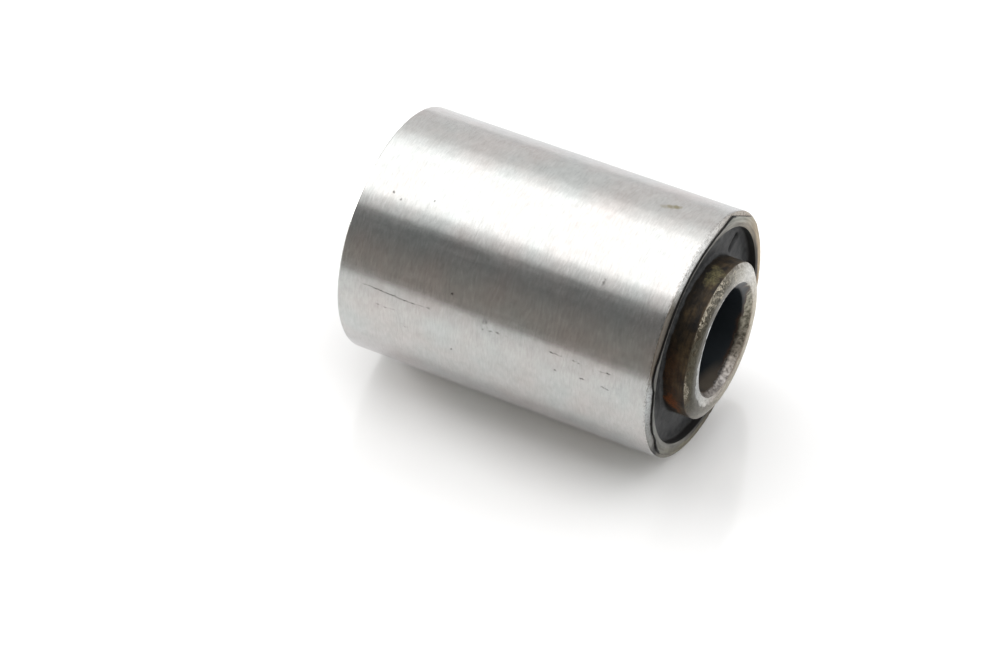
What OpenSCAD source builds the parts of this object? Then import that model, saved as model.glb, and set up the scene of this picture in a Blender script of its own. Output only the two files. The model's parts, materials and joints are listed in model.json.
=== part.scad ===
// Steering rod bushing: a bright steel outer sleeve that is pressed into the eye of the rod, a thick
// inner sleeve that the bolt clamps, and rubber that is moulded and bonded between the two.
// It stands on the inner sleeve's lower end, with the bore along +Z and the torn flash on top.

/* [Outer sleeve] */
// Outside diameter, which is pressed into the eye
outer_d = 30; // [28:0.5:36]
// Wall of the outer sleeve
outer_wall = 1.5; // [1:0.1:2]
// Length of the outer sleeve
outer_length = 40; // [30:0.5:45]
// Edge break on the outside corners
outer_edge = 0.25; // [0.1:0.05:0.4]

/* [Inner sleeve] */
// Outside diameter of the inner sleeve
inner_d = 19; // [18:0.5:21]
// Bore for the bolt
bore_d = 12.5; // [11:0.1:13.5]
// Length of the inner sleeve between its clamped faces
inner_length = 45.4; // [45:0.1:60]
// Outside chamfer at each end, measured across the face
inner_chamfer_across = 1.05; // [0.4:0.05:1.1]
// The same chamfer, measured along the axis
inner_chamfer_along = 0.65; // [0.3:0.05:1.2]
// Countersink at each end of the bore
bore_chamfer = 0.8; // [0.3:0.1:1]

/* [Rubber] */
// Depth of the rubber's end face below the outer sleeve's end
rubber_recess = 0.9; // [0.5:0.05:2]
// Fillet where the rubber climbs a sleeve
rubber_fillet = 0.4; // [0.2:0.05:0.5]
// Skin of rubber on the outer sleeve's wall above the end face
rubber_skin = 0.35; // [0.2:0.05:0.4]

/* [Flash] */
// Thickness of the rubber that was squeezed out over the sleeve's end
flash_thickness = 0.2; // [0.1:0.05:0.4]
// How far the flash spreads over the end, from the sleeve's inner wall
flash_spread = 1.05; // [0.4:0.05:1.2]
// How much of that is torn back along one side
flash_torn_back = 1.2; // [0:0.1:1.5]
// Direction of the side that is torn back, in degrees
flash_torn_angle = -45; // [-180:1:180]
// Half of the stretch that is torn back, in degrees
flash_torn_half = 65; // [20:1:90]
// Width of bare end face outside the straight tear
flash_tear_width = 0.63; // [0.4:0.01:1]
// Direction of the straight tear, in degrees
flash_tear_angle = -127; // [-180:1:180]

/* [Hidden] */
$fn = 96;

outer_r = outer_d / 2;
seat_r = outer_r - outer_wall;
inner_r = inner_d / 2;
bore_r = bore_d / 2;
sleeve_bottom = (inner_length - outer_length) / 2;
sleeve_top = sleeve_bottom + outer_length;
hollow_r = seat_r - rubber_skin;
hollow_depth = rubber_recess + flash_thickness;
rubber_bottom = sleeve_bottom - flash_thickness;
rubber_height = outer_length + 2 * flash_thickness;
overshoot = 1;

// Bulges and bites along the flash's edge: direction in degrees, half width in degrees, change of reach
flash_waves = [
    [-144, 8, 0.4],
    [-115, 6, 0.4],
    [-18, 10, 0.75],
    [-6, 5, -0.5],
    [26, 7, -0.45]
];
flash_step = 3;
// How steeply the flash narrows where the torn side begins
flash_torn_power = 6;
// Turn from the straight tear's direction past which it cuts nothing
flash_tear_half = 60;
// Where the flash doesn't spread, its outline stays inside the skin
flash_least_r = seat_r - rubber_skin / 2;
flash_most_r = outer_r - outer_edge;

// Smallest turn between two directions, in degrees
function turn_between(a, b) = abs((a - b + 540) % 360 - 180);

// Reach of the ring, which is whole on one side and torn back on the other
function torn_reach(a) =
    seat_r + flash_spread
        - flash_torn_back * exp(-pow(turn_between(a, flash_torn_angle) / flash_torn_half, flash_torn_power));

function wave_reach(a, wave) = wave[2] * exp(-pow(turn_between(a, wave[0]) / wave[1], 2));

function waves_reach(a, i = 0) =
    i == len(flash_waves) ? 0 : wave_reach(a, flash_waves[i]) + waves_reach(a, i + 1);

// Reach of the straight tear, which is a chord of the end face
function tear_reach(a) =
    let (off = turn_between(a, flash_tear_angle))
    off < flash_tear_half ? (outer_r - flash_tear_width) / cos(off) : outer_r;

function flash_reach(a) =
    max(flash_least_r, min(flash_most_r, tear_reach(a), torn_reach(a) + waves_reach(a)));

function flash_outline() =
    [for (a = [0:flash_step:359]) flash_reach(a) * [cos(a), sin(a)]];

// Turned tube with its outside corners broken
module outer_sleeve() {
    color("#c9c7c6")
        translate([0, 0, sleeve_bottom])
            rotate_extrude()
                polygon([
                    [seat_r, 0],
                    [outer_r - outer_edge, 0],
                    [outer_r, outer_edge],
                    [outer_r, outer_length - outer_edge],
                    [outer_r - outer_edge, outer_length],
                    [seat_r, outer_length]
                ]);
}

// Space above the rubber's upper end face, with a fillet along each sleeve
module end_hollow() {
    face_z = sleeve_top - rubber_recess;
    rotate_extrude() {
        translate([inner_r + rubber_fillet, face_z])
            square([hollow_r - inner_r - 2 * rubber_fillet, hollow_depth + overshoot]);
        translate([inner_r - overshoot, face_z + rubber_fillet])
            square([hollow_r - inner_r + overshoot, hollow_depth + overshoot]);
        for (r = [inner_r + rubber_fillet, hollow_r - rubber_fillet])
            translate([r, face_z + rubber_fillet])
                circle(r = rubber_fillet);
    }
}

// Moulded rubber: it fills the sleeve, leaves a thin lip at both ends and a torn flash on the upper one
module rubber_bush() {
    color("#35342f")
        difference() {
            union() {
                translate([0, 0, rubber_bottom])
                    cylinder(r = seat_r, h = rubber_height);
                translate([0, 0, sleeve_top])
                    linear_extrude(flash_thickness)
                        polygon(flash_outline());
            }
            translate([0, 0, rubber_bottom - overshoot])
                cylinder(r = inner_r, h = rubber_height + 2 * overshoot);
            end_hollow();
            translate([0, 0, inner_length])
                mirror([0, 0, 1])
                    end_hollow();
        }
}

// Thick tube with a broad outside chamfer and a countersunk bore
module inner_sleeve() {
    face_r = inner_r - inner_chamfer_across;
    mouth_r = bore_r + bore_chamfer;
    color("#4d4238")
        rotate_extrude()
            polygon([
                [bore_r, bore_chamfer],
                [mouth_r, 0],
                [face_r, 0],
                [inner_r, inner_chamfer_along],
                [inner_r, inner_length - inner_chamfer_along],
                [face_r, inner_length],
                [mouth_r, inner_length],
                [bore_r, inner_length - bore_chamfer]
            ]);
}

outer_sleeve();
rubber_bush();
inner_sleeve();
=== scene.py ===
import json
import math

import bmesh
import bpy
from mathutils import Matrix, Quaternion, Vector, noise


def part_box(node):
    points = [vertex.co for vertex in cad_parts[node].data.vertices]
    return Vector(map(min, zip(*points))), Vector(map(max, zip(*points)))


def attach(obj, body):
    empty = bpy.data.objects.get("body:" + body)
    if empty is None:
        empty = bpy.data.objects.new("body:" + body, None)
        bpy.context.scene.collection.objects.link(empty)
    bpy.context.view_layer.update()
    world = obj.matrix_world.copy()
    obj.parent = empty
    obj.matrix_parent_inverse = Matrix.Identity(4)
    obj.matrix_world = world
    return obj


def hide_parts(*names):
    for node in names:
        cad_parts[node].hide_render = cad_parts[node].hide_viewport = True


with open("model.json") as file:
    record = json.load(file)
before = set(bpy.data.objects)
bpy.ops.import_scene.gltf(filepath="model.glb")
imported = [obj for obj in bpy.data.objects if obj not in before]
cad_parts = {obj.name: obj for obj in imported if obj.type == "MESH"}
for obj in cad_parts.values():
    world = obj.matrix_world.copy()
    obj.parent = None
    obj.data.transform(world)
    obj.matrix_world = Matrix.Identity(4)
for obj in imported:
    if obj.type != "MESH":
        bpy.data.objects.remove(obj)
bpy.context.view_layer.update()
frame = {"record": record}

# Outer sleeve: steel tube, cut off and faced in a lathe, then ground bright on the outside so that it
# presses into the eye of the rod. Handling has left a broken scuff along it, specks and a stain of oil.
mm = 0.001
sleeve_low, sleeve_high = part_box("outer_sleeve")
outer_r = sleeve_high.x
sleeve_bottom = sleeve_low.z
sleeve_top = sleeve_high.z
sleeve_wall = 1.5 * mm
seat_r = outer_r - sleeve_wall
sleeve_edge = 0.25 * mm
sleeve_sides = 320
sleeve_crisp_angle = 40
edge_steps = 5


def turned_piece(name, profile, sides):
    """Draws a ring out along a closed profile of (radius, height) points, as a lathe follows a shape."""
    bpy.ops.object.select_all(action="DESELECT")
    radius, height = profile[0]
    bpy.ops.mesh.primitive_circle_add(vertices=sides, radius=radius, location=(0, 0, height))
    bpy.ops.object.transform_apply(location=True)
    piece = bpy.context.object
    piece.name = name
    piece.data.name = name
    bpy.ops.object.mode_set(mode="EDIT")
    bpy.ops.mesh.select_mode(type="EDGE")
    bpy.ops.mesh.select_all(action="SELECT")
    for next_radius, next_height in profile[1:]:
        rise = (0, 0, next_height - height)
        share = next_radius / radius
        bpy.ops.mesh.extrude_edges_move(TRANSFORM_OT_translate={"value": rise})
        bpy.ops.transform.resize(value=(share, share, 1), center_override=(0, 0, 0))
        radius, height = next_radius, next_height
    bpy.ops.mesh.select_all(action="DESELECT")
    bpy.ops.mesh.select_non_manifold(
        use_wire=False, use_multi_face=False, use_non_contiguous=False, use_verts=False
    )
    bpy.ops.mesh.bridge_edge_loops()
    bpy.ops.mesh.select_all(action="SELECT")
    bpy.ops.mesh.normals_make_consistent(inside=False)
    bpy.ops.object.mode_set(mode="OBJECT")
    return piece


def rounded(profile, widths, steps):
    """The profile with each corner drawn as a curve, from this width before it to as far after it."""
    points = []
    for i, width in enumerate(widths):
        corner = Vector(profile[i])
        if width == 0:
            points.append(tuple(corner))
            continue
        start = corner + (Vector(profile[i - 1]) - corner).normalized() * width
        end = corner + (Vector(profile[(i + 1) % len(profile)]) - corner).normalized() * width
        for step in range(steps + 1):
            t = step / steps
            points.append(tuple(start * (1 - t) ** 2 + corner * 2 * t * (1 - t) + end * t * t))
    return points


def smooth(piece, degrees):
    """Shades the piece smooth, with every sharper edge than this left crisp."""
    bpy.ops.object.select_all(action="DESELECT")
    piece.select_set(True)
    bpy.context.view_layer.objects.active = piece
    bpy.ops.object.shade_smooth_by_angle(angle=math.radians(degrees))


sleeve_corners = [
    (seat_r, sleeve_bottom),
    (outer_r, sleeve_bottom),
    (outer_r, sleeve_top),
    (seat_r, sleeve_top),
]
sleeve_profile = rounded(sleeve_corners, [0, sleeve_edge, sleeve_edge, 0], edge_steps)
sleeve = turned_piece("outer_sleeve_ground", sleeve_profile, sleeve_sides)
smooth(sleeve, sleeve_crisp_angle)


def linear(hex_colour):
    """An sRGB hex colour as linear red, green, blue and alpha."""
    shares = [int(hex_colour[i : i + 2], 16) / 255 for i in (1, 3, 5)]
    return (*[s / 12.92 if s <= 0.04045 else ((s + 0.055) / 1.055) ** 2.4 for s in shares], 1)


def add_node(tree, kind, inputs, **settings):
    """Adds one node with its settings, and links or sets its inputs, by name or number."""
    node = tree.nodes.new("ShaderNode" + kind)
    for name, value in settings.items():
        setattr(node, name, value)
    for socket, value in inputs.items():
        if isinstance(value, bpy.types.NodeSocket):
            tree.links.new(value, node.inputs[socket])
        else:
            node.inputs[socket].default_value = value
    return node


def unrolled(tree, place, radius):
    """The place on the unrolled piece: along the turn at this radius, height, distance from the axis."""
    axes = add_node(tree, "SeparateXYZ", {0: place})
    x, y, height = axes.outputs
    direction = add_node(tree, "Math", {0: y, 1: x}, operation="ARCTAN2").outputs[0]
    along = add_node(tree, "Math", {0: direction, 1: radius}, operation="MULTIPLY").outputs[0]
    flat = add_node(tree, "CombineXYZ", {"X": x, "Y": y}).outputs[0]
    distance = add_node(tree, "VectorMath", {0: flat}, operation="LENGTH").outputs["Value"]
    return add_node(tree, "CombineXYZ", {"X": along, "Y": height, "Z": distance}).outputs[0]


def spots(tree, where, radius, places):
    """Soft spots on the unrolled piece: direction in degrees, height, half height, half width, strength."""
    core = 0.5
    rim = 1.4
    mask = None
    for degrees, height, half_height, half_width, strength in places:
        centre = (math.radians(degrees) * radius, height * mm, 0)
        half_size = (half_width * mm, half_height * mm, 1)
        away = add_node(tree, "VectorMath", {0: where, 1: centre}, operation="SUBTRACT").outputs[0]
        away = add_node(tree, "VectorMath", {0: away, 1: half_size}, operation="DIVIDE").outputs[0]
        away = add_node(tree, "VectorMath", {0: away}, operation="LENGTH").outputs["Value"]
        spot = add_node(
            tree,
            "MapRange",
            {"Value": away, "From Min": core, "From Max": rim, "To Min": strength, "To Max": 0},
        ).outputs[0]
        if mask is None:
            mask = spot
        else:
            mask = add_node(tree, "Math", {0: mask, 1: spot}, operation="MAXIMUM").outputs[0]
    return mask


# Ground steel: the wheel leaves fine lines round the sleeve, which smear reflections into soft bands. They
# are drawn coarser than real ones, so that they show. Hands have clouded it faintly, and the tint keeps its
# outline grey.
ground_steel = bpy.data.materials.new("ground_steel")
ground_steel.use_nodes = True
tree = ground_steel.node_tree
shader = tree.nodes["Principled BSDF"]
ring_pitch = 0.28 * mm
ring_run = 9 * mm
ring_strength = 0.03
ring_depth = 0.0004 * mm
cloud_size = 6 * mm
mottle_size = 1.3 * mm
mottle_strength = 0.1
line_run = 1.0 * mm
line_pitch = 0.2 * mm
line_strength = 0.16
place = add_node(tree, "TexCoord", {}).outputs["Object"]
ring_scale = (1 / ring_run, 1 / ring_run, 1 / ring_pitch)
ring_place = add_node(tree, "VectorMath", {0: place, 1: ring_scale}, operation="MULTIPLY").outputs[0]
rings = add_node(
    tree, "TexNoise", {"Vector": ring_place, "Scale": 1, "Detail": 3, "Roughness": 0.6}
).outputs["Fac"]
ring_share = add_node(tree, "MapRange", {"Value": rings, "From Min": 0.3, "From Max": 0.7}).outputs[0]
clouds = add_node(tree, "TexNoise", {"Vector": place, "Scale": 1 / cloud_size, "Detail": 4}).outputs["Fac"]
cloud_share = add_node(tree, "MapRange", {"Value": clouds, "From Min": 0.35, "From Max": 0.65}).outputs[0]
steel = add_node(
    tree, "Mix", {0: cloud_share, 6: linear("#bdb9b6"), 7: linear("#babcba")}, data_type="RGBA"
).outputs[2]
steel = add_node(
    tree, "Mix", {0: ring_strength, 6: steel, 7: ring_share}, data_type="RGBA", blend_type="SOFT_LIGHT"
).outputs[2]
mottle = add_node(tree, "TexNoise", {"Vector": place, "Scale": 1 / mottle_size, "Detail": 2}).outputs["Fac"]
mottle_share = add_node(tree, "MapRange", {"Value": mottle, "From Min": 0.3, "From Max": 0.7}).outputs[0]
steel = add_node(
    tree, "Mix", {0: mottle_strength, 6: steel, 7: mottle_share}, data_type="RGBA", blend_type="SOFT_LIGHT"
).outputs[2]
line_scale = (1 / line_run, 1 / line_run, 1 / line_pitch)
line_place = add_node(tree, "VectorMath", {0: place, 1: line_scale}, operation="MULTIPLY").outputs[0]
lines = add_node(tree, "TexNoise", {"Vector": line_place, "Scale": 1, "Detail": 3}).outputs["Fac"]
line_share = add_node(tree, "MapRange", {"Value": lines, "From Min": 0.3, "From Max": 0.7}).outputs[0]
steel = add_node(
    tree, "Mix", {0: line_strength, 6: steel, 7: line_share}, data_type="RGBA", blend_type="SOFT_LIGHT"
).outputs[2]

# Its marks: a scuff along the side that breaks off into dashes, fainter ones beside it, and specks
sleeve_marks = [
    (-14.4, 6.5, 0.7, 0.05, 0.78),
    (-14.2, 8.0, 0.9, 0.07, 1),
    (-13.8, 9.6, 1.0, 0.08, 1),
    (-13.4, 11.3, 0.9, 0.08, 1),
    (-13.4, 12.6, 0.4, 0.06, 0.78),
    (-13.6, 13.6, 0.6, 0.04, 0.48),
    (-13.9, 14.6, 0.25, 0.12, 0.48),
    (-6.7, 8.2, 0.4, 0.05, 0.48),
    (-6.4, 9.1, 0.35, 0.07, 0.6),
    (-6.8, 10.1, 0.5, 0.04, 0.42),
    (-0.6, 11.2, 0.2, 0.06, 0.48),
    (0.4, 11.9, 0.3, 0.06, 0.54),
    (-13.4, 21.75, 0.14, 0.08, 0.66),
    (-13.6, 22.65, 0.3, 0.06, 0.6),
    (-14.0, 23.6, 0.3, 0.08, 0.72),
    (-14.1, 24.7, 0.25, 0.05, 0.42),
    (-14.3, 30.6, 0.4, 0.08, 0.9),
    (-14.0, 31.4, 0.4, 0.06, 0.78),
    (-14.1, 33.4, 0.35, 0.07, 0.78),
    (-13.7, 34.0, 0.15, 0.05, 0.6),
    (-13.6, 36.9, 0.4, 0.06, 0.72),
    (-13.8, 37.6, 0.3, 0.10, 0.96),
    (-6.2, 37.3, 0.35, 0.07, 0.78),
    (-5.8, 37.8, 0.25, 0.08, 0.78),
    (-6.6, 34.6, 0.3, 0.08, 0.72),
    (-24.4, 17.25, 0.14, 0.14, 1),
    (3.8, 17.75, 0.13, 0.13, 0.84),
    (-5.9, 31.2, 0.16, 0.13, 0.9),
    (-17.2, 21.85, 0.30, 0.30, 0.48),
    (-51.6, 34.3, 0.18, 0.40, 0.54),
    (-58.2, 6.6, 0.14, 0.14, 1),
    (-56.1, 7.7, 0.14, 0.14, 0.96),
    (-60.4, 11.6, 0.12, 0.12, 0.84),
]
grain_size = 0.3 * mm
shake_reach = 0.12 * mm
shake = add_node(
    tree, "TexNoise", {"Vector": place, "Scale": 1 / grain_size, "Detail": 2}, normalize=False
).outputs["Color"]
shaken = add_node(
    tree, "VectorMath", {0: shake, 1: (shake_reach,) * 3, 2: place}, operation="MULTIPLY_ADD"
).outputs[0]
side = unrolled(tree, shaken, outer_r)
marks = spots(tree, side, outer_r, sleeve_marks)
grains = add_node(tree, "TexNoise", {"Vector": place, "Scale": 1 / grain_size, "Detail": 3}).outputs["Fac"]
mark_grains = add_node(
    tree, "MapRange", {"Value": grains, "From Min": 0.4, "From Max": 0.55, "To Min": 0.35, "To Max": 1}
).outputs[0]
marks = add_node(tree, "Math", {0: marks, 1: mark_grains}, operation="MULTIPLY").outputs[0]
steel = add_node(tree, "Mix", {0: marks, 6: steel, 7: linear("#2a2623")}, data_type="RGBA").outputs[2]

# Dark grains on the rounded edge at the upper end
edge_width = 0.38 * mm
edge_strength = 0.75
edge_start = sleeve_top - edge_width
along_axis = add_node(tree, "SeparateXYZ", {0: place}).outputs["Z"]
at_edge = add_node(
    tree,
    "MapRange",
    {"Value": along_axis, "From Min": edge_start, "From Max": sleeve_top, "To Max": edge_strength},
).outputs[0]
edge_grains = add_node(tree, "MapRange", {"Value": grains, "From Min": 0.46, "From Max": 0.6}).outputs[0]
edge_darkening = add_node(tree, "Math", {0: at_edge, 1: edge_grains}, operation="MULTIPLY").outputs[0]
steel = add_node(tree, "Mix", {0: edge_darkening, 6: steel, 7: linear("#5c5750")}, data_type="RGBA").outputs[2]

# The oil stain, a short olive streak across the top
oil_places = [
    (-99.0, 35.9, 0.40, 0.35, 0.45),
    (-100.3, 36.5, 0.45, 0.40, 0.75),
    (-101.6, 37.1, 0.45, 0.40, 0.85),
    (-102.3, 37.5, 0.25, 0.35, 0.5),
]
oil = spots(tree, side, outer_r, oil_places)
steel = add_node(tree, "Mix", {0: oil, 6: steel, 7: linear("#8d8669")}, data_type="RGBA").outputs[2]

# Smoother and duller patches along it, broad waves and fainter ripples
patch_width = 0.6 * mm
patch_run = 9 * mm
smoother = 0.21
duller = 0.26
patch_scale = (1 / patch_width, 1 / patch_width, 1 / patch_run)
patch_place = add_node(tree, "VectorMath", {0: place, 1: patch_scale}, operation="MULTIPLY").outputs[0]
patches = add_node(tree, "TexNoise", {"Vector": patch_place, "Scale": 1, "Detail": 1}).outputs["Fac"]
roughness = add_node(
    tree,
    "MapRange",
    {"Value": patches, "From Min": 0.3, "From Max": 0.7, "To Min": smoother, "To Max": duller},
).outputs[0]
wave_size = 7 * mm
wave_depth = 0.02 * mm
waves = add_node(tree, "TexNoise", {"Vector": place, "Scale": 1 / wave_size, "Detail": 1}).outputs["Fac"]
bump = add_node(tree, "Bump", {"Height": waves, "Strength": 1, "Distance": wave_depth}).outputs[0]
ripple_width = 1.6 * mm
ripple_run = 8 * mm
ripple_depth = 0.006 * mm
ripple_scale = (1 / ripple_width, 1 / ripple_width, 1 / ripple_run)
ripple_place = add_node(tree, "VectorMath", {0: place, 1: ripple_scale}, operation="MULTIPLY").outputs[0]
ripples = add_node(tree, "TexNoise", {"Vector": ripple_place, "Scale": 1, "Detail": 1}).outputs["Fac"]
bump = add_node(
    tree, "Bump", {"Height": ripples, "Strength": 1, "Distance": ripple_depth, "Normal": bump}
).outputs[0]
bump = add_node(
    tree, "Bump", {"Height": rings, "Strength": 1, "Distance": ring_depth, "Normal": bump}
).outputs[0]
tangent = add_node(tree, "Tangent", {}, direction_type="RADIAL", axis="Z").outputs[0]
tree.links.new(steel, shader.inputs["Base Color"])
tree.links.new(roughness, shader.inputs["Roughness"])
tree.links.new(bump, shader.inputs["Normal"])
tree.links.new(tangent, shader.inputs["Tangent"])
shader.inputs["Metallic"].default_value = 1
shader.inputs["Specular Tint"].default_value = linear("#ecebed")
shader.inputs["Anisotropic"].default_value = 0.4
shader.inputs["Anisotropic Rotation"].default_value = 0.25


def colours_round(tree, where, radius, stops):
    """Colours that change with the direction from the axis: (degrees, hex colour), from -180 to 180."""
    along = add_node(tree, "SeparateXYZ", {0: where}).outputs["X"]
    half_turn = math.pi * radius
    share = add_node(
        tree, "MapRange", {"Value": along, "From Min": -half_turn, "From Max": half_turn}
    ).outputs[0]
    ramp = add_node(tree, "ValToRGB", {0: share})
    elements = ramp.color_ramp.elements
    elements[0].color = linear(stops[0][1])
    elements[1].color = linear(stops[-1][1])
    for degrees, hex_colour in stops[1:-1]:
        elements.new((degrees + 180) / 360).color = linear(hex_colour)
    return ramp.outputs["Color"]


# Faced steel: the end faces keep the lathe's bright cut where they were wiped, and brown dirt from the
# mould elsewhere, all of it peppered with dark specks. A black drop is left on one side. Their colours also
# change with direction round the axis as painted light and shade.
faced_steel = bpy.data.materials.new("faced_steel")
faced_steel.use_nodes = True
tree = faced_steel.node_tree
shader = tree.nodes["Principled BSDF"]
speck_size = 0.2 * mm
speck_depth = 0.01 * mm
face_shake_size = 1.2 * mm
face_shake_reach = 0.6 * mm
place = add_node(tree, "TexCoord", {}).outputs["Object"]
face_shake = add_node(
    tree, "TexNoise", {"Vector": place, "Scale": 1 / face_shake_size, "Detail": 3}, normalize=False
).outputs["Color"]
face_place = add_node(
    tree, "VectorMath", {0: face_shake, 1: (face_shake_reach,) * 3, 2: place}, operation="MULTIPLY_ADD"
).outputs[0]
face_side = unrolled(tree, face_place, outer_r)
# Colours by direction round the axis: the mould's brown dirt and the wiped bright cut, with painted light
# and shade in them
dirt_and_shading_colours = [
    (-180, "#a8977f"),
    (-112, "#a29c95"),
    (-84, "#d6d6d4"),
    (-60, "#d6d6d4"),
    (-51, "#6a655c"),
    (-36, "#645d54"),
    (-20, "#5c5449"),
    (-8, "#acafaf"),
    (12, "#878887"),
    (40, "#66635a"),
    (80, "#6f6a5b"),
    (120, "#a0937e"),
    (180, "#a8977f"),
]
face_colour = colours_round(tree, face_side, outer_r, dirt_and_shading_colours)
specks = add_node(tree, "TexNoise", {"Vector": place, "Scale": 1 / speck_size, "Detail": 3}).outputs["Fac"]
speck_share = add_node(
    tree, "MapRange", {"Value": specks, "From Min": 0.52, "From Max": 0.62, "To Min": 0, "To Max": 0.65}
).outputs[0]
face_colour = add_node(
    tree, "Mix", {0: speck_share, 6: face_colour, 7: linear("#4a453e")}, data_type="RGBA"
).outputs[2]
drop = spots(tree, face_side, outer_r, [(34, sleeve_top / mm, 0.6, 1.5, 1)])
face_colour = add_node(
    tree, "Mix", {0: drop, 6: face_colour, 7: linear("#191817")}, data_type="RGBA"
).outputs[2]
bump = add_node(tree, "Bump", {"Height": specks, "Strength": 1, "Distance": speck_depth}).outputs[0]
tree.links.new(face_colour, shader.inputs["Base Color"])
tree.links.new(bump, shader.inputs["Normal"])
shader.inputs["Metallic"].default_value = 1
shader.inputs["Roughness"].default_value = 0.42

end_face_slope = 0.45
sleeve.data.materials.append(ground_steel)
sleeve.data.materials.append(faced_steel)
for face in sleeve.data.polygons:
    end_face = abs(face.normal.z) > end_face_slope
    face.material_index = 1 if end_face else 0
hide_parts("outer_sleeve")
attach(sleeve, "root")

# Rubber bush: black rubber, moulded between the sleeves and bonded to both as it cures. Its end faces are
# hollow, a thin lip climbs the sleeve's wall, and the film squeezed over the sleeve's end is left torn.
inner_low, inner_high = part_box("inner_sleeve")
inner_r = inner_high.x
rubber_recess = 0.9 * mm
rubber_fillet = 0.4 * mm
lip_wall = 0.35 * mm
film_thickness = 0.2 * mm
film_edge_round = 0.05 * mm
film_lift = 0.01 * mm
rubber_sides = 480
rubber_crisp_angle = 50
rubber_face = sleeve_top - rubber_recess
film_top = sleeve_top + film_thickness
film_under = sleeve_top + film_lift
hollow_r = seat_r - lip_wall
film_drawn_r = outer_r - sleeve_edge
face_rings = 18
film_rings = 10
fillet_steps = 6
film_edge_steps = 3


def arc(centre_r, centre_z, radius, start, end, steps):
    """Points on an arc of the profile, by angle in degrees from outwards towards up."""
    turns = [math.radians(start + (end - start) * i / steps) for i in range(steps + 1)]
    return [(centre_r + radius * math.cos(t), centre_z + radius * math.sin(t)) for t in turns]


flat_start = inner_r + rubber_fillet
flat_width = hollow_r - rubber_fillet - flat_start
upper_end = arc(flat_start, rubber_face + rubber_fillet, rubber_fillet, 180, 270, fillet_steps)
upper_end += [(flat_start + flat_width * i / face_rings, rubber_face) for i in range(1, face_rings)]
flat_end = hollow_r - rubber_fillet
upper_end += arc(flat_end, rubber_face + rubber_fillet, rubber_fillet, 270, 360, fillet_steps)
film_start = hollow_r + film_edge_round
film_end = film_drawn_r - film_edge_round
film_round_z = film_top - film_edge_round
upper_end += arc(film_start, film_round_z, film_edge_round, 180, 90, film_edge_steps)
film_width = film_end - film_start
film_outline = [(film_start + film_width * i / film_rings, film_top) for i in range(1, film_rings)]
film_outline += arc(film_end, film_round_z, film_edge_round, 90, 0, film_edge_steps)
film_outline += [(film_drawn_r, film_under)]
middle = (inner_low.z + inner_high.z) / 2
lower_lip = sleeve_bottom - film_thickness
lower_end = [(r, 2 * middle - z) for r, z in reversed(upper_end)]
rubber = turned_piece(
    "rubber_bush_moulded",
    upper_end + film_outline + [(seat_r, film_under), (seat_r, lower_lip)] + lower_end,
    rubber_sides,
)

# The film's reach from the axis, by direction: whole on one side, torn back on the other and cut off
# straight at the top. Bulges and bites are direction, half width in degrees and change of reach in mm.
film_spread = 1.05 * mm
film_torn_back = 1.2 * mm
film_torn_angle = -45
film_torn_half = 65
film_torn_power = 6
film_tear_width = 0.63 * mm
film_tear_angle = -127
film_tear_half = 60
film_waves = [(-144, 8, 0.4), (-115, 6, 0.4), (-18, 10, 0.75), (-6, 5, -0.5), (26, 7, -0.45)]
film_least_r = seat_r - lip_wall / 2
film_fray = 0.05 * mm
film_fray_count = 22


def turn_between(a, b):
    """The smallest turn between two directions, in degrees."""
    return abs((a - b + 540) % 360 - 180)


def film_reach(direction):
    """How far from the axis the film lies on the sleeve's end in this direction."""
    torn = math.exp(-((turn_between(direction, film_torn_angle) / film_torn_half) ** film_torn_power))
    reach = seat_r + film_spread - film_torn_back * torn
    for wave_angle, half_width, change in film_waves:
        reach += change * mm * math.exp(-((turn_between(direction, wave_angle) / half_width) ** 2))
    towards = Vector((math.cos(math.radians(direction)), math.sin(math.radians(direction)), 0))
    reach += film_fray * noise.noise(towards * film_fray_count)
    off = turn_between(direction, film_tear_angle)
    if off < film_tear_half:
        reach = min(reach, (outer_r - film_tear_width) / math.cos(math.radians(off)))
    return max(film_least_r, min(film_drawn_r, reach))


above_steel = sleeve_top + film_lift / 2
tolerance = 0.001 * mm
for vertex in rubber.data.vertices:
    radius = vertex.co.xy.length
    on_seat = abs(radius - seat_r) < tolerance and vertex.co.z < film_top - film_edge_round * 2
    if vertex.co.z > above_steel and radius > hollow_r + film_edge_round and not on_seat:
        share = (radius - hollow_r) / (film_drawn_r - hollow_r)
        direction = math.degrees(math.atan2(vertex.co.y, vertex.co.x))
        wanted = hollow_r + share * (film_reach(direction) - hollow_r)
        vertex.co.xy *= wanted / radius

# Lumps on the moulded face, a short slit in it, and shallow waves in the film
lump_size = 1.6 * mm
lump_height = 0.10 * mm
film_wave_size = 0.8 * mm
film_wave_height = 0.03 * mm
wall_clear = 0.01 * mm
slit_start_angle = math.radians(-143)
slit_start_r = 12.1 * mm
slit_end_angle = math.radians(-140.5)
slit_end_r = 10.5 * mm
slit_width = 0.28 * mm
slit_depth = 1.5 * mm
slit_start = Vector((math.cos(slit_start_angle), math.sin(slit_start_angle))) * slit_start_r
slit_end = Vector((math.cos(slit_end_angle), math.sin(slit_end_angle))) * slit_end_r
slit_along = slit_end - slit_start
for vertex in rubber.data.vertices:
    radius = vertex.co.xy.length
    on_face = vertex.co.z > middle and inner_r + rubber_fillet / 2 < radius < hollow_r - wall_clear
    on_face = on_face and vertex.co.z < rubber_face + rubber_fillet
    if on_face:
        vertex.co.z += lump_height * noise.noise(vertex.co / lump_size)
        from_start = vertex.co.xy - slit_start
        share = max(0, min(1, from_start.dot(slit_along) / slit_along.length_squared))
        off = (from_start - slit_along * share).length
        vertex.co.z -= slit_depth * math.exp(-((off / slit_width) ** 2))
    on_film = vertex.co.z > film_top - tolerance and radius > hollow_r + film_edge_round
    if on_film:
        vertex.co.z += film_wave_height * noise.noise(vertex.co / film_wave_size)
smooth(rubber, rubber_crisp_angle)
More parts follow.
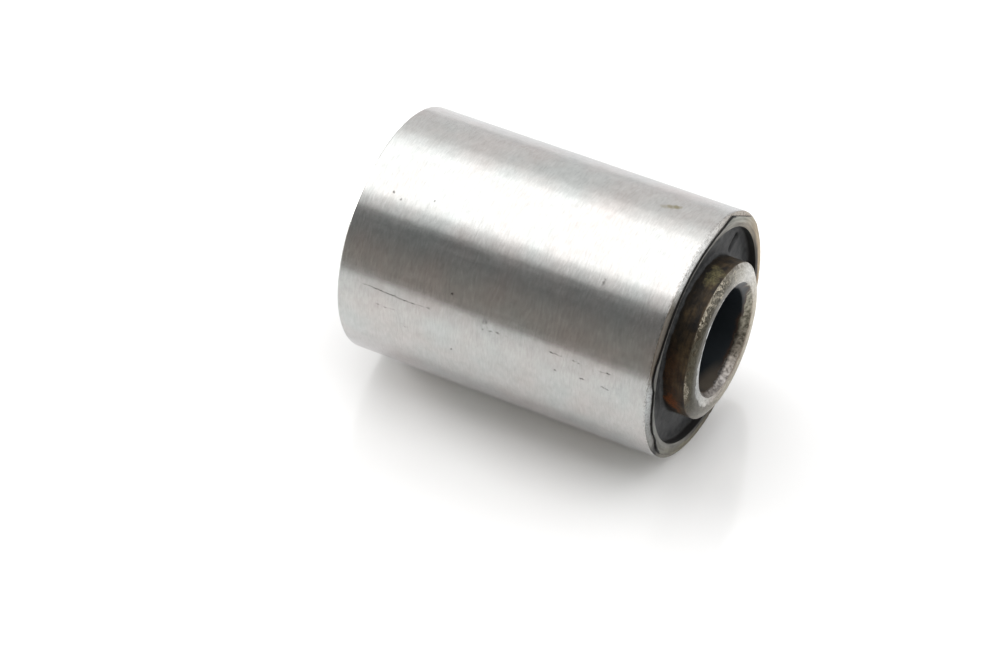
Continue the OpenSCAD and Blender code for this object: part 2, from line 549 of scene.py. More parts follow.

# Moulded rubber: filled with carbon black and matt, with a faint grey bloom in clouds, small pits from the
# mould, and painted shade that darkens the wall inside the lip.
moulded_rubber = bpy.data.materials.new("moulded_rubber")
moulded_rubber.use_nodes = True
tree = moulded_rubber.node_tree
shader = tree.nodes["Principled BSDF"]
bloom_size = 1.1 * mm
pit_size = 0.18 * mm
pit_depth = 0.02 * mm
place = add_node(tree, "TexCoord", {}).outputs["Object"]
bloom = add_node(
    tree, "TexNoise", {"Vector": place, "Scale": 1 / bloom_size, "Detail": 6, "Roughness": 0.65}
).outputs["Fac"]
bloom = add_node(tree, "MapRange", {"Value": bloom, "From Min": 0.35, "From Max": 0.68}).outputs[0]
pits = add_node(tree, "TexNoise", {"Vector": place, "Scale": 1 / pit_size, "Detail": 2}).outputs["Fac"]
rubber_colour = add_node(
    tree, "Mix", {0: bloom, 6: linear("#111213"), 7: linear("#3a3b3c")}, data_type="RGBA"
).outputs[2]
rubber_distance = add_node(tree, "SeparateXYZ", {0: unrolled(tree, place, outer_r)}).outputs["Z"]
# Painted shade on the wall inside the lip
wall_shade = add_node(
    tree, "MapRange", {"Value": rubber_distance, "From Min": flat_end, "From Max": hollow_r}
).outputs[0]
rubber_colour = add_node(
    tree, "Mix", {0: wall_shade, 6: rubber_colour, 7: linear("#0d0b09")}, data_type="RGBA"
).outputs[2]
bump = add_node(tree, "Bump", {"Height": pits, "Strength": 1, "Distance": pit_depth}).outputs[0]
tree.links.new(rubber_colour, shader.inputs["Base Color"])
tree.links.new(bump, shader.inputs["Normal"])
shader.inputs["Roughness"].default_value = 0.62
shader.inputs["Specular IOR Level"].default_value = 0.35

# Torn rubber film: so thin that it has dried grey, brown where the steel shines through it, and streaked
# along the sleeve's edge as it was pulled off. Its colour also changes with direction round the axis as
# painted light and shade, and near the hollow's edge it turns nearly black from the low side round to the
# far side as painted shade.
torn_film = bpy.data.materials.new("torn_rubber_film")
torn_film.use_nodes = True
tree = torn_film.node_tree
shader = tree.nodes["Principled BSDF"]
streak_run = 3.5 * mm
streak_pitch = 0.3 * mm
streak_strength = 0.4
streak_depth = 0.03 * mm
inner_film_end = 14.05 * mm
inner_film_full = 13.8 * mm
inner_film_shake = 0.3 * mm
place = add_node(tree, "TexCoord", {}).outputs["Object"]
film_side = unrolled(tree, place, outer_r)
# Colours by direction round the axis: the film's grey and brown, with painted light and shade in them
film_colours = [
    (-180, "#a8967d"),
    (-150, "#9a8d79"),
    (-130, "#8c8b82"),
    (-95, "#7a7b75"),
    (-40, "#4a4845"),
    (20, "#6f6f6b"),
    (68, "#5d5948"),
    (100, "#41392a"),
    (145, "#5a4f39"),
    (180, "#a8967d"),
]
film_colour = colours_round(tree, film_side, outer_r, film_colours)
# Near the hollow's edge: painted shade, nearly black from the low side round to the far side
film_inner_colours = [
    (-180, "#1c150d"),
    (-168, "#241d14"),
    (-150, "#756c5e"),
    (-118, "#7c7972"),
    (-40, "#4a4845"),
    (20, "#6f6f6b"),
    (58, "#62605a"),
    (85, "#1c1810"),
    (180, "#1c150d"),
]
film_inner = colours_round(tree, film_side, outer_r, film_inner_colours)
streak_scale = (1 / streak_run, 1 / streak_run, 1 / streak_pitch)
streak_place = add_node(tree, "VectorMath", {0: film_side, 1: streak_scale}, operation="MULTIPLY").outputs[0]
streaks = add_node(tree, "TexNoise", {"Vector": streak_place, "Scale": 1, "Detail": 4}).outputs["Fac"]
streak_share = add_node(tree, "MapRange", {"Value": streaks, "From Min": 0.35, "From Max": 0.65}).outputs[0]
film_distance = add_node(tree, "SeparateXYZ", {0: film_side}).outputs["Z"]
film_distance = add_node(
    tree, "Math", {0: streaks, 1: inner_film_shake, 2: film_distance}, operation="MULTIPLY_ADD"
).outputs[0]
inner_share = add_node(
    tree, "MapRange", {"Value": film_distance, "From Min": inner_film_end, "From Max": inner_film_full}
).outputs[0]
film_colour = add_node(
    tree, "Mix", {0: inner_share, 6: film_colour, 7: film_inner}, data_type="RGBA"
).outputs[2]
film_colour = add_node(
    tree,
    "Mix",
    {0: streak_strength, 6: film_colour, 7: streak_share},
    data_type="RGBA",
    blend_type="SOFT_LIGHT",
).outputs[2]
bump = add_node(tree, "Bump", {"Height": streaks, "Strength": 1, "Distance": streak_depth}).outputs[0]
tree.links.new(film_colour, shader.inputs["Base Color"])
tree.links.new(bump, shader.inputs["Normal"])
shader.inputs["Roughness"].default_value = 0.5
shader.inputs["Specular IOR Level"].default_value = 0.2

# On the torn side the film's outer edge is black, like the moulded rubber, and the black reaches over the
# film's top as a painted shadow along that edge
film_slope = 0.7
dark_edge_start = 0.88
dark_edge_middle = -40
dark_edge_half = 78
rubber.data.materials.append(moulded_rubber)
rubber.data.materials.append(torn_film)
for face in rubber.data.polygons:
    on_film = face.center.z > film_round_z and face.normal.z > film_slope
    direction = math.degrees(math.atan2(face.center.y, face.center.x))
    share = (face.center.xy.length - hollow_r) / (film_reach(direction) - hollow_r)
    at_dark_edge = share > dark_edge_start and turn_between(direction, dark_edge_middle) < dark_edge_half
    face.material_index = 1 if on_film and not at_dark_edge else 0
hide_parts("rubber_bush")
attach(rubber, "root")

# Inner sleeve: thick steel tube that the bolt clamps. It went through the mould's heat bare, so its outside
# is stained dark brown, and the ends were scraped clean of rubber by hand.
bore_r = frame["record"]["mounts"][0]["dims"]["r_mm"] * mm
bore_chamfer = 0.8 * mm
chamfer_across = 1.05 * mm
chamfer_along = 0.65 * mm
inner_sides = 320
inner_crisp_angle = 30
mouth_r = bore_r + bore_chamfer
face_r = inner_r - chamfer_across
inner_top = inner_high.z
ring_spacing = 0.22 * mm
straight_stretch = 5 * mm
mouth_edge_width = 0.05 * mm
end_corners = [
    (inner_r, middle),
    (inner_r, inner_top - chamfer_along),
    (face_r, inner_top),
    (mouth_r, inner_top),
    (bore_r, inner_top - bore_chamfer),
    (bore_r, middle),
]
end_rounding = [0, 0.10 * mm, 0.38 * mm, 0.12 * mm, 0.25 * mm, 0]
end_profile = rounded(end_corners, end_rounding, edge_steps)
upper_half = [end_profile[0]]
for (start_r, start_z), (end_r, end_z) in zip(end_profile, end_profile[1:]):
    length = math.hypot(end_r - start_r, end_z - start_z)
    steps = 1 if length > straight_stretch else math.ceil(length / ring_spacing)
    for i in range(1, steps + 1):
        share = i / steps
        upper_half.append((start_r + (end_r - start_r) * share, start_z + (end_z - start_z) * share))
lower_half = [(r, 2 * middle - z) for r, z in reversed(upper_half[1:-1])]
inner = turned_piece("inner_sleeve_stained", upper_half + lower_half, inner_sides)
for face in inner.data.polygons:
    radius = face.center.xy.length
    depth = middle - abs(face.center.z - middle)
    if radius > face_r and depth > chamfer_along:
        face.material_index = 0
    elif radius > mouth_r - mouth_edge_width:
        face.material_index = 1
    else:
        face.material_index = 2

# The countersink runs a little off centre, and the end is dented down to just below its chamfer
runs_off_angle = math.radians(-115)
runs_off_by = 0.3 * mm
mouth_runs_off = Vector((math.cos(runs_off_angle), math.sin(runs_off_angle), 0)) * runs_off_by
dent_size = 1.3 * mm
dent_depth = 0.05 * mm
dented_below = 0.5 * mm
for vertex in inner.data.vertices:
    depth = middle - abs(vertex.co.z - middle)
    radius = vertex.co.xy.length
    if depth < bore_chamfer and radius < face_r:
        share = min((radius - bore_r) / bore_chamfer, (face_r - radius) / (face_r - mouth_r))
        vertex.co += mouth_runs_off * share
    if depth < chamfer_along + dented_below:
        dent = noise.noise(vertex.co / dent_size) * dent_depth
        outward = Vector((vertex.co.x, vertex.co.y, 0)).normalized()
        vertex.co += outward * dent
smooth(inner, inner_crisp_angle)

# Heat-stained steel: dark brown oxide, streaked round the sleeve and darkened to black next to the rubber as
# painted shade, with an olive patch on top and a spot of orange rust on the side.
stained_steel = bpy.data.materials.new("heat_stained_steel")
stained_steel.use_nodes = True
tree = stained_steel.node_tree
shader = tree.nodes["Principled BSDF"]
oxide_size = 1.5 * mm
fleck_size = 0.25 * mm
fleck_depth = 0.03 * mm
soot_run = 3 * mm
soot_pitch = 0.4 * mm
soot_strength = 0.8
rubber_shade_starts = 43.7 * mm
rubber_shade_full = 42.6 * mm
patch_shake_size = 0.7 * mm
patch_shake_reach = 0.7 * mm
place = add_node(tree, "TexCoord", {}).outputs["Object"]
oxide = add_node(tree, "TexNoise", {"Vector": place, "Scale": 1 / oxide_size, "Detail": 5}).outputs["Fac"]
oxide = add_node(tree, "MapRange", {"Value": oxide, "From Min": 0.35, "From Max": 0.65}).outputs[0]
stained = add_node(
    tree, "Mix", {0: oxide, 6: linear("#120d07"), 7: linear("#403320")}, data_type="RGBA"
).outputs[2]
soot_scale = (1 / soot_run, 1 / soot_run, 1 / soot_pitch)
soot_place = add_node(tree, "VectorMath", {0: place, 1: soot_scale}, operation="MULTIPLY").outputs[0]
soot = add_node(tree, "TexNoise", {"Vector": soot_place, "Scale": 1, "Detail": 4}).outputs["Fac"]
soot_share = add_node(tree, "MapRange", {"Value": soot, "From Min": 0.3, "From Max": 0.7}).outputs[0]
stained = add_node(
    tree, "Mix", {0: soot_strength, 6: stained, 7: soot_share}, data_type="RGBA", blend_type="SOFT_LIGHT"
).outputs[2]
flecks = add_node(tree, "TexNoise", {"Vector": place, "Scale": 1 / fleck_size, "Detail": 3}).outputs["Fac"]
fleck_share = add_node(
    tree, "MapRange", {"Value": flecks, "From Min": 0.42, "From Max": 0.55, "To Min": 0.45, "To Max": 1}
).outputs[0]
inner_shake = add_node(
    tree, "TexNoise", {"Vector": place, "Scale": 1 / patch_shake_size, "Detail": 3}, normalize=False
).outputs["Color"]
inner_place = add_node(
    tree, "VectorMath", {0: inner_shake, 1: (patch_shake_reach,) * 3, 2: place}, operation="MULTIPLY_ADD"
).outputs[0]
inner_side = unrolled(tree, inner_place, inner_r)
inner_height = add_node(tree, "SeparateXYZ", {0: inner_side}).outputs["Y"]
# Painted shade: black towards where the sleeve stands out of the rubber
rubber_shade = add_node(
    tree, "MapRange", {"Value": inner_height, "From Min": rubber_shade_starts, "From Max": rubber_shade_full, "To Max": 0.75}
).outputs[0]
stained = add_node(tree, "Mix", {0: rubber_shade, 6: stained, 7: linear("#0b0906")}, data_type="RGBA").outputs[2]
inner_patches = [
    ("#3f2710", [(-12, 43.0, 1.2, 2.6, 0.7), (10, 43.4, 1.2, 2.0, 0.8)]),
    ("#6f3b14", [(13, 42.9, 0.5, 0.9, 0.7), (20, 43.3, 0.6, 1.1, 0.9), (28, 43.7, 0.4, 0.8, 0.6)]),
    ("#6d6747", [(-88, 43.7, 0.8, 1.3, 0.8), (-97, 43.2, 0.5, 0.8, 0.6)]),
]
for hex_colour, patch_places in inner_patches:
    patch = spots(tree, inner_side, inner_r, patch_places)
    patch = add_node(tree, "Math", {0: patch, 1: fleck_share}, operation="MULTIPLY").outputs[0]
    stained = add_node(
        tree, "Mix", {0: patch, 6: stained, 7: linear(hex_colour)}, data_type="RGBA"
    ).outputs[2]
bump = add_node(tree, "Bump", {"Height": flecks, "Strength": 1, "Distance": fleck_depth}).outputs[0]
tree.links.new(stained, shader.inputs["Base Color"])
tree.links.new(bump, shader.inputs["Normal"])
shader.inputs["Roughness"].default_value = 0.5
shader.inputs["Specular IOR Level"].default_value = 0.3

# Scraped steel: a dull chamfer, darker towards its foot as painted shade, with light scuffs along its edge,
# and a clamped face rubbed bright, except low on the far side, where brown stain is left on it. Both colours
# change with direction round the axis as painted light and shade.
scraped_steel = bpy.data.materials.new("scraped_steel")
scraped_steel.use_nodes = True
tree = scraped_steel.node_tree
shader = tree.nodes["Principled BSDF"]
scrape_run = 1.5 * mm
scrape_pitch = 0.2 * mm
scrape_strength = 0.55
scrape_depth = 0.012 * mm
scrape_shake_size = 0.9 * mm
scrape_shake_reach = 0.35 * mm
rub_starts = 7.5 * mm
rub_full = 7.2 * mm
chamfer_foot = inner_top - chamfer_along
foot_shade_top = inner_top - 0.3 * mm
foot_shade_depth = 0.6
place = add_node(tree, "TexCoord", {}).outputs["Object"]
scrape_shake = add_node(
    tree, "TexNoise", {"Vector": place, "Scale": 1 / scrape_shake_size, "Detail": 4}, normalize=False
).outputs["Color"]
end_place = add_node(
    tree, "VectorMath", {0: scrape_shake, 1: (scrape_shake_reach,) * 3, 2: place}, operation="MULTIPLY_ADD"
).outputs[0]
end_side = unrolled(tree, end_place, inner_r)
# Colours by direction round the axis, for the dull chamfer and the rubbed face: painted light and shade
chamfer_colours = [
    (-180, "#b0a898"),
    (-135, "#b9b8b4"),
    (-116, "#a5a29a"),
    (-92, "#625f57"),
    (-52, "#45423a"),
    (-5, "#423f35"),
    (30, "#3c392f"),
    (60, "#6b675d"),
    (90, "#8a8375"),
    (180, "#b0a898"),
]
rubbed_colours = [
    (-180, "#8f877a"),
    (-145, "#98938a"),
    (-110, "#b4b3b0"),
    (-50, "#c4c8ca"),
    (14, "#8c8d8b"),
    (40, "#a6a5a1"),
    (75, "#8f8880"),
    (125, "#74695b"),
    (180, "#8f877a"),
]
dull = colours_round(tree, end_side, inner_r, chamfer_colours)
rubbed = colours_round(tree, end_side, inner_r, rubbed_colours)
end_distance = add_node(tree, "SeparateXYZ", {0: end_side}).outputs["Z"]
broad_rub = spots(tree, end_side, inner_r, [(22, inner_top / mm, 2, 5.5, 0.4)])
rub_distance = add_node(
    tree, "Math", {0: broad_rub, 1: -mm, 2: end_distance}, operation="MULTIPLY_ADD"
).outputs[0]
rubbed_share = add_node(
    tree, "MapRange", {"Value": rub_distance, "From Min": rub_starts, "From Max": rub_full}
).outputs[0]
scraped = add_node(tree, "Mix", {0: rubbed_share, 6: dull, 7: rubbed}, data_type="RGBA").outputs[2]
# Painted shade: the chamfer darkens towards its foot
end_height = add_node(tree, "SeparateXYZ", {0: end_side}).outputs["Y"]
foot_shade_share = add_node(
    tree,
    "MapRange",
    {
        "Value": end_height,
        "From Min": chamfer_foot,
        "From Max": foot_shade_top,
        "To Min": foot_shade_depth,
        "To Max": 0,
    },
).outputs[0]
scraped = add_node(
    tree, "Mix", {0: foot_shade_share, 6: scraped, 7: linear("#42382a")}, data_type="RGBA"
).outputs[2]
scrape_scale = (1 / scrape_run, 1 / scrape_pitch, 1 / scrape_pitch)
scrape_place = add_node(tree, "VectorMath", {0: end_side, 1: scrape_scale}, operation="MULTIPLY").outputs[0]
scrapes = add_node(tree, "TexNoise", {"Vector": scrape_place, "Scale": 1, "Detail": 4}).outputs["Fac"]
scrape_share = add_node(tree, "MapRange", {"Value": scrapes, "From Min": 0.3, "From Max": 0.7}).outputs[0]
scraped = add_node(
    tree, "Mix", {0: scrape_strength, 6: scraped, 7: scrape_share}, data_type="RGBA", blend_type="SOFT_LIGHT"
).outputs[2]

# Scuffs in rows of short dashes, and the chamfer's lower edge worn light
dash_run = 0.5 * mm
dash_height = 0.12 * mm
dash_width = 0.3 * mm
scuff_places = [
    (-56, 44.78, 0.25, 1.4, 0.9),
    (-70, 44.82, 0.25, 1.6, 1),
    (-84, 44.9, 0.25, 1.4, 1),
    (-66, 45.15, 0.12, 1.6, 0.8),
    (-82, 45.2, 0.12, 1.4, 0.8),
    (-100, 45.15, 0.2, 1.4, 0.7),
    (-4, 44.78, 0.15, 0.8, 0.6),
    (4, 44.9, 0.2, 0.8, 0.7),
]
scuffs = spots(tree, end_side, inner_r, scuff_places)
dash_scale = (1 / dash_run, 1 / dash_height, 1 / dash_width)
dash_place = add_node(tree, "VectorMath", {0: end_side, 1: dash_scale}, operation="MULTIPLY").outputs[0]
dashes = add_node(tree, "TexNoise", {"Vector": dash_place, "Scale": 1, "Detail": 2}).outputs["Fac"]
dashes = add_node(tree, "MapRange", {"Value": dashes, "From Min": 0.47, "From Max": 0.66}).outputs[0]
scuffs = add_node(tree, "Math", {0: scuffs, 1: dashes}, operation="MULTIPLY").outputs[0]
worn_edge = spots(tree, end_side, inner_r, [(-72, 44.74, 0.1, 4.5, 0.6), (0, 44.74, 0.08, 2, 0.4)])
scuffs = add_node(tree, "Math", {0: scuffs, 1: worn_edge}, operation="MAXIMUM").outputs[0]
scraped = add_node(tree, "Mix", {0: scuffs, 6: scraped, 7: linear("#bdb5a4")}, data_type="RGBA").outputs[2]
bump = add_node(tree, "Bump", {"Height": scrapes, "Strength": 1, "Distance": scrape_depth}).outputs[0]
tree.links.new(scraped, shader.inputs["Base Color"])
tree.links.new(bump, shader.inputs["Normal"])
shader.inputs["Metallic"].default_value = 1
shader.inputs["Roughness"].default_value = 0.38

# Oxidised bore: drilled steel gone nearly black, with a ring at its mouth that was scraped clean down to a
# ragged brown edge, deepest low on the far side, and a lighter brown-grey patch just inside it, low down.
# The ring's colours change with direction round the axis as painted light and shade.
oxidised_bore = bpy.data.materials.new("oxidised_bore")
oxidised_bore.use_nodes = True
tree = oxidised_bore.node_tree
shader = tree.nodes["Principled BSDF"]
rag_size = 1.3 * mm
rag_depth = 0.4 * mm
flake_size = 0.45 * mm
flake_strength = 0.65
flake_depth = 0.02 * mm
place = add_node(tree, "TexCoord", {}).outputs["Object"]
mouth_side = unrolled(tree, place, bore_r)
# Colours of the scraped ring by direction round the axis: painted light and shade
mouth_colours = [
    (-180, "#7f7b6f"),
    (-130, "#85837a"),
    (50, "#6f6963"),
    (95, "#86827f"),
    (132, "#69635a"),
    (160, "#6d695e"),
    (180, "#7f7b6f"),
]
mouth = colours_round(tree, mouth_side, bore_r, mouth_colours)
flakes = add_node(tree, "TexNoise", {"Vector": place, "Scale": 1 / flake_size, "Detail": 5}).outputs["Fac"]
flake_share = add_node(tree, "MapRange", {"Value": flakes, "From Min": 0.35, "From Max": 0.65}).outputs[0]
mouth = add_node(
    tree, "Mix", {0: flake_strength, 6: mouth, 7: flake_share}, data_type="RGBA", blend_type="SOFT_LIGHT"
).outputs[2]
bore_height = add_node(tree, "SeparateXYZ", {0: place}).outputs["Z"]
from_middle = add_node(tree, "Math", {0: bore_height, 1: middle}, operation="SUBTRACT").outputs[0]
from_middle = add_node(tree, "Math", {0: from_middle}, operation="ABSOLUTE").outputs[0]
rags = add_node(
    tree, "TexNoise", {"Vector": place, "Scale": 1 / rag_size, "Detail": 4}, normalize=False
).outputs["Fac"]
ragged = add_node(
    tree, "Math", {0: rags, 1: rag_depth, 2: from_middle}, operation="MULTIPLY_ADD"
).outputs[0]
deepest = math.radians(118)
deeper = 0.95 * mm
lean = (math.cos(deepest) * deeper / bore_r, math.sin(deepest) * deeper / bore_r, 0)
leaning = add_node(tree, "VectorMath", {0: place, 1: lean}, operation="DOT_PRODUCT").outputs["Value"]
ragged = add_node(tree, "Math", {0: ragged, 1: leaning}, operation="ADD").outputs[0]
mouth_depth = 0.25 * mm
brown_width = 0.35 * mm
mouth_edge = inner_top - middle - mouth_depth
bare_starts = mouth_edge - 0.02 * mm
bare_full = mouth_edge + 0.06 * mm
in_mouth = add_node(
    tree, "MapRange", {"Value": ragged, "From Min": bare_starts, "From Max": bare_full}
).outputs[0]
near_mouth = add_node(
    tree, "MapRange", {"Value": ragged, "From Min": mouth_edge - brown_width, "From Max": mouth_edge}
).outputs[0]
bore_colour = add_node(
    tree, "Mix", {0: near_mouth, 6: linear("#141a1f"), 7: linear("#3f2d1e")}, data_type="RGBA"
).outputs[2]
low_patch = spots(tree, mouth_side, bore_r, [(82, 43.9, 1.2, 2.8, 0.9)])
bore_colour = add_node(
    tree, "Mix", {0: low_patch, 6: bore_colour, 7: linear("#524b42")}, data_type="RGBA"
).outputs[2]
bore_colour = add_node(tree, "Mix", {0: in_mouth, 6: bore_colour, 7: mouth}, data_type="RGBA").outputs[2]
bump = add_node(tree, "Bump", {"Height": flakes, "Strength": 1, "Distance": flake_depth}).outputs[0]
tree.links.new(bore_colour, shader.inputs["Base Color"])
tree.links.new(in_mouth, shader.inputs["Metallic"])
tree.links.new(bump, shader.inputs["Normal"])
shader.inputs["Roughness"].default_value = 0.42

inner.data.materials.append(stained_steel)
inner.data.materials.append(scraped_steel)
inner.data.materials.append(oxidised_bore)
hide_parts("inner_sleeve")
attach(inner, "root")

# Floor: a sheet of white board that the bushing lies on, along its side, so the board touches the sleeve's
# outside on +Y. From behind it is clear, so that it hides nothing.
floor_size = 1.0
floor_front = 0.12
floor_polish = 0.07
polish_roughness = 0.12
first_bounce_limit = 1.5
bpy.ops.object.select_all(action="DESELECT")
bpy.ops.mesh.primitive_plane_add(
    size=floor_size,
    location=(floor_front - floor_size / 2, outer_r, 0),
    rotation=(math.radians(90), 0, 0),
)
bpy.ops.object.transform_apply(location=True, rotation=True)
floor = bpy.context.object
floor.name = "floor"
white_board = bpy.data.materials.new("white_board")
white_board.use_nodes = True
tree = white_board.node_tree
tree.nodes.remove(tree.nodes["Principled BSDF"])
place = add_node(tree, "TexCoord", {}).outputs["Object"]
across = add_node(tree, "SeparateXYZ", {0: place}).outputs["X"]
rays = add_node(tree, "LightPath", {})
first_bounce = add_node(
    tree, "Math", {0: rays.outputs["Ray Depth"], 1: first_bounce_limit}, operation="LESS_THAN"
).outputs[0]
mirrored = add_node(
    tree, "Math", {0: rays.outputs["Is Glossy Ray"], 1: first_bounce}, operation="MULTIPLY"
).outputs[0]

# Mirrored in the sleeve, the board darkens towards its front edge, as if the dark card shaded it
shade_start = 20 * mm
shade_end = 60 * mm
shaded = add_node(
    tree, "MapRange", {"Value": across, "From Min": shade_start, "From Max": shade_end, "To Max": mirrored}
).outputs[0]
board_colour = add_node(
    tree, "Mix", {0: shaded, 6: linear("#f4f4f4"), 7: linear("#dedede")}, data_type="RGBA"
).outputs[2]
matt = add_node(tree, "BsdfDiffuse", {"Color": board_colour}).outputs[0]
polish = add_node(tree, "BsdfAnisotropic", {"Color": (1, 1, 1, 1), "Roughness": polish_roughness}).outputs[0]
board = add_node(tree, "MixShader", {0: floor_polish, 1: matt, 2: polish}).outputs[0]

# Near its contact the sleeve would mirror only black, so there the board glows a little in mirrored rays
contact_half = 16 * mm
contact_full = contact_half / 4
contact_glow = 0.25
from_contact = add_node(tree, "Math", {0: across}, operation="ABSOLUTE").outputs[0]
contact = add_node(
    tree,
    "MapRange",
    {"Value": from_contact, "From Min": contact_full, "From Max": contact_half, "To Min": 1, "To Max": 0},
).outputs[0]
contact = add_node(tree, "Math", {0: contact, 1: mirrored}, operation="MULTIPLY").outputs[0]
contact = add_node(tree, "Math", {0: contact, 1: contact_glow}, operation="MULTIPLY").outputs[0]
glow = add_node(tree, "Emission", {"Color": (1, 1, 1, 1), "Strength": contact}).outputs[0]
board = add_node(tree, "AddShader", {0: board, 1: glow}).outputs[0]

# Clear from behind
behind = add_node(tree, "NewGeometry", {}).outputs["Backfacing"]
clear = add_node(tree, "BsdfTransparent", {}).outputs[0]
board = add_node(tree, "MixShader", {0: behind, 1: board, 2: clear}).outputs[0]
tree.links.new(board, tree.nodes["Material Output"].inputs["Surface"])
floor.data.materials.append(white_board)

# Dark card: a tall sheet of grey card that stands in front of the bushing, folded flat at its foot as far as
# the board. The sleeve mirrors it as its dark band, and the camera doesn't see it. It is no lamp, yet it
# glows:
# in mirrors a dark grey that warms towards its foot, and for all other light a paler glow that lights the
# bushing and the board.
card_x = 0.45
card_height = 0.615
card_length = 2.4
card_cool_from = -0.32
card_warm_from = -0.08
bpy.ops.object.select_all(action="DESELECT")
bpy.ops.mesh.primitive_plane_add(
    size=1,
    location=(card_x, outer_r - card_height / 2, 0),
    rotation=(0, math.radians(-90), 0),
)
card = bpy.context.object
card.name = "dark_card"
card.scale = (card_length, card_height, 1)
bpy.ops.object.transform_apply(location=True, rotation=True, scale=True)
bpy.ops.object.mode_set(mode="EDIT")
bpy.ops.mesh.select_mode(type="EDGE")
bpy.ops.mesh.select_all(action="DESELECT")
mesh = bmesh.from_edit_mesh(card.data)
for edge in mesh.edges:
    edge.select_set(all(v.co.y > 0 for v in edge.verts))
bmesh.update_edit_mesh(card.data)
bpy.ops.mesh.extrude_edges_move(TRANSFORM_OT_translate={"value": (floor_front - card_x, 0, 0)})
bpy.ops.object.mode_set(mode="OBJECT")
card.visible_camera = False
glowing_grey_card = bpy.data.materials.new("glowing_grey_card")
glowing_grey_card.use_nodes = True
tree = glowing_grey_card.node_tree
tree.nodes.remove(tree.nodes["Principled BSDF"])
place = add_node(tree, "TexCoord", {}).outputs["Object"]
down_card = add_node(tree, "SeparateXYZ", {0: place}).outputs["Y"]
low_share = add_node(
    tree, "MapRange", {"Value": down_card, "From Min": card_cool_from, "From Max": card_warm_from}
).outputs[0]
card_colour = add_node(
    tree, "Mix", {0: low_share, 6: linear("#767777"), 7: linear("#98938e")}, data_type="RGBA"
).outputs[2]
card_mirrored = add_node(tree, "LightPath", {}).outputs["Is Glossy Ray"]
card_colour = add_node(
    tree, "Mix", {0: card_mirrored, 6: linear("#c6c3bd"), 7: card_colour}, data_type="RGBA"
).outputs[2]
card_glow = add_node(tree, "Emission", {"Color": card_colour, "Strength": 1}).outputs[0]
tree.links.new(card_glow, tree.nodes["Material Output"].inputs["Surface"])
card.data.materials.append(glowing_grey_card)

# Softbox: one broad lamp over the bushing, faced with white cloth that glows evenly.
# The sleeve mirrors it as its white band.
softbox_height = 0.5
softbox_width = 0.587
softbox_length = 1.8
softbox_glow = 1.18
softbox_x = -0.0615
softbox_z = 0.4
softbox_data = bpy.data.lights.new("softbox", "AREA")
softbox_data.shape = "RECTANGLE"
softbox_data.size = softbox_width
softbox_data.size_y = softbox_length
softbox_data.energy = math.pi * softbox_width * softbox_length * softbox_glow
softbox = bpy.data.objects.new("softbox", softbox_data)
softbox.location = (softbox_x, -softbox_height, softbox_z)
softbox.rotation_euler = (math.radians(90), 0, 0)
softbox.visible_camera = False
bpy.context.scene.collection.objects.link(softbox)

# The softbox's far rim, where its cloth is dimmer
rim_width = 0.21
rim_glow = 0.5
rim_data = bpy.data.lights.new("softbox_rim", "AREA")
rim_data.shape = "RECTANGLE"
rim_data.size = rim_width
rim_data.size_y = softbox_length
rim_data.energy = math.pi * rim_width * softbox_length * rim_glow
rim = bpy.data.objects.new("softbox_rim", rim_data)
rim.location = (softbox_x - (softbox_width + rim_width) / 2, -softbox_height, softbox_z)
rim.rotation_euler = (math.radians(90), 0, 0)
rim.visible_camera = False
bpy.context.scene.collection.objects.link(rim)

# Side lamp: a smaller square one beyond the far end, turned to the bushing.
# It thins the shadow there.
side_lamp_size = 0.3
side_lamp_glow = 12.0
side_lamp_place = Vector((0, -0.15, -0.6))
side_lamp_data = bpy.data.lights.new("side_lamp", "AREA")
side_lamp_data.shape = "SQUARE"
side_lamp_data.size = side_lamp_size
side_lamp_data.energy = math.pi * side_lamp_size**2 * side_lamp_glow
side_lamp = bpy.data.objects.new("side_lamp", side_lamp_data)
side_lamp.location = side_lamp_place
side_lamp.rotation_mode = "QUATERNION"
side_lamp.rotation_quaternion = (-side_lamp_place).to_track_quat("-Z", "Y")
side_lamp.visible_camera = False
bpy.context.scene.collection.objects.link(side_lamp)

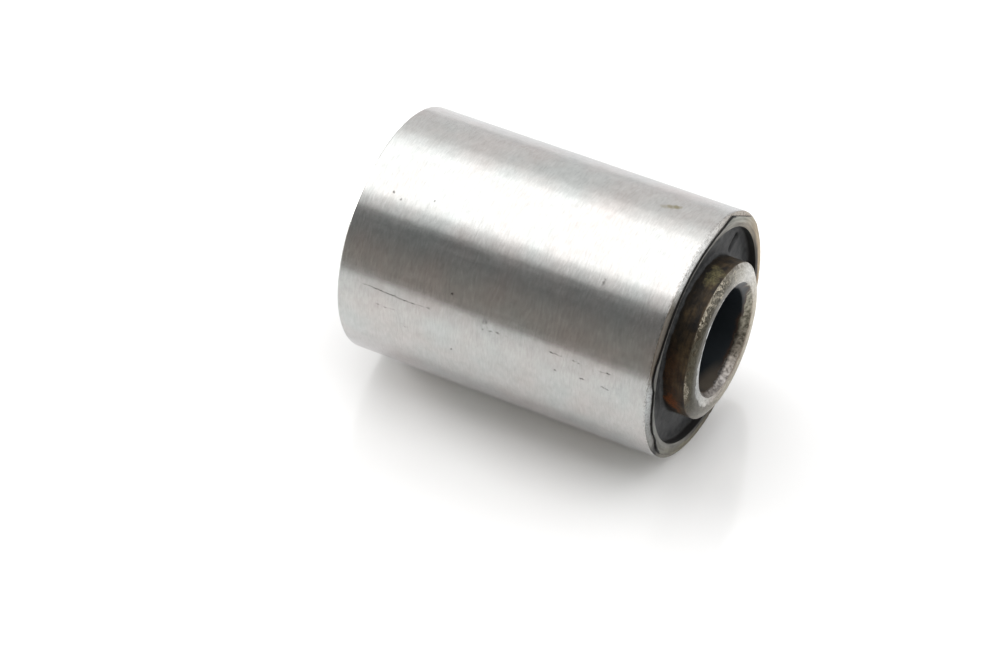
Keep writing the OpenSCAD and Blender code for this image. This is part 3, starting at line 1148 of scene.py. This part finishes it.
# Room: white to the eye and in reflections. For everything else it is a fill, which is bright from behind
# the bushing and low from in front.
fill_behind = 1.16
fill_in_front = 0.12
world = bpy.data.worlds.new("white_room")
world.use_nodes = True
tree = world.node_tree
background = tree.nodes["Background"]
room_rays = add_node(tree, "LightPath", {}).outputs
seen = add_node(
    tree, "Math", {0: room_rays["Is Camera Ray"], 1: room_rays["Is Glossy Ray"]}, operation="MAXIMUM"
).outputs[0]
seen = add_node(
    tree, "Math", {0: seen, 1: room_rays["Is Transmission Ray"]}, operation="MAXIMUM"
).outputs[0]
ray_direction = add_node(tree, "TexCoord", {}).outputs["Generated"]
forward = add_node(tree, "SeparateXYZ", {0: ray_direction}).outputs["X"]
fill = add_node(
    tree, "MapRange", {"Value": forward, "From Min": -1, "To Min": fill_behind, "To Max": fill_in_front}
).outputs[0]
strength = add_node(tree, "MapRange", {"Value": seen, "To Min": fill, "To Max": 1}).outputs[0]
background.inputs["Color"].default_value = (1, 1, 1, 1)
tree.links.new(strength, background.inputs["Strength"])
bpy.context.scene.world = world

# Camera: a long lens that looks at the bushing's end from above its side, rolled so that the bushing lies
# on its side in the picture.
camera_aim = Vector((5.530, 5.358, 19.053)) * mm
camera_distance = 414.067 * mm
camera_azimuth = math.radians(44.094)
camera_elevation = math.radians(20.688)
camera_roll = math.radians(110.03)
camera_lens = 127.355
camera_sensor = 36
camera_near = 0.01
back = Vector(
    (
        math.sin(camera_azimuth) * math.cos(camera_elevation),
        -math.cos(camera_azimuth) * math.cos(camera_elevation),
        math.sin(camera_elevation),
    )
)
camera_data = bpy.data.cameras.new("camera")
camera_data.lens = camera_lens
camera_data.sensor_width = camera_sensor
camera_data.clip_start = camera_near
camera = bpy.data.objects.new("camera", camera_data)
camera.location = camera_aim + back * camera_distance
camera.rotation_mode = "QUATERNION"
camera.rotation_quaternion = (-back).to_track_quat("-Z", "Y") @ Quaternion((0, 0, 1), camera_roll)
bpy.context.scene.collection.objects.link(camera)
bpy.context.scene.camera = camera
bpy.context.scene.view_settings.view_transform = "Standard"
